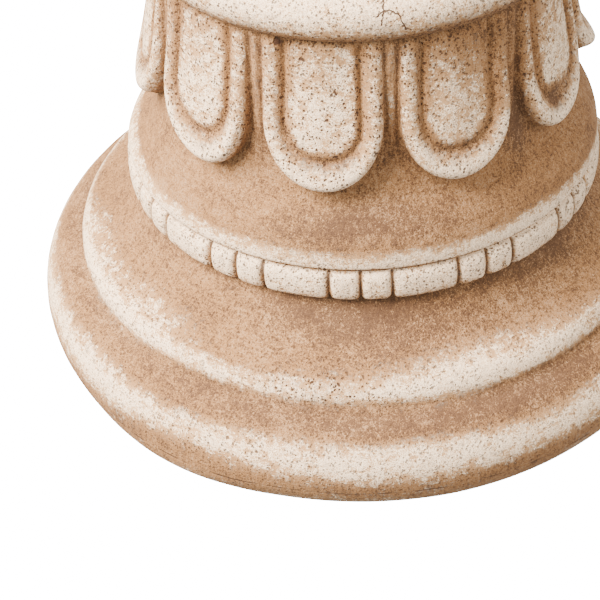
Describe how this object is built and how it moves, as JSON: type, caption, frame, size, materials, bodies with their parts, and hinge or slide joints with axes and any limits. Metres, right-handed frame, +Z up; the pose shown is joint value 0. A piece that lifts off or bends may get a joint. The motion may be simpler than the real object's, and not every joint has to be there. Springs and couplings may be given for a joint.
{
  "type": "pedestal column",
  "caption": "Round cast-stone pedestal column with a moulded foot, a band of blocks, a collar of tongues, a plain shaft and a flat round top.",
  "frame": {"origin": "centre of the flat underside, on the ground", "axes": "+Z up along the column's axis; -Y is the front, where a tongue stands over a long block"},
  "size_m": [0.2998, 0.2998, 0.6991],
  "materials": {
    "cast_stone": "pitted pale cast stone, rubbed white on its high edges, with a brown patina in its hollows"
  },
  "bodies": {
    "root": {"pedestal_column": "cast_stone"}
  },
  "joints": []
}
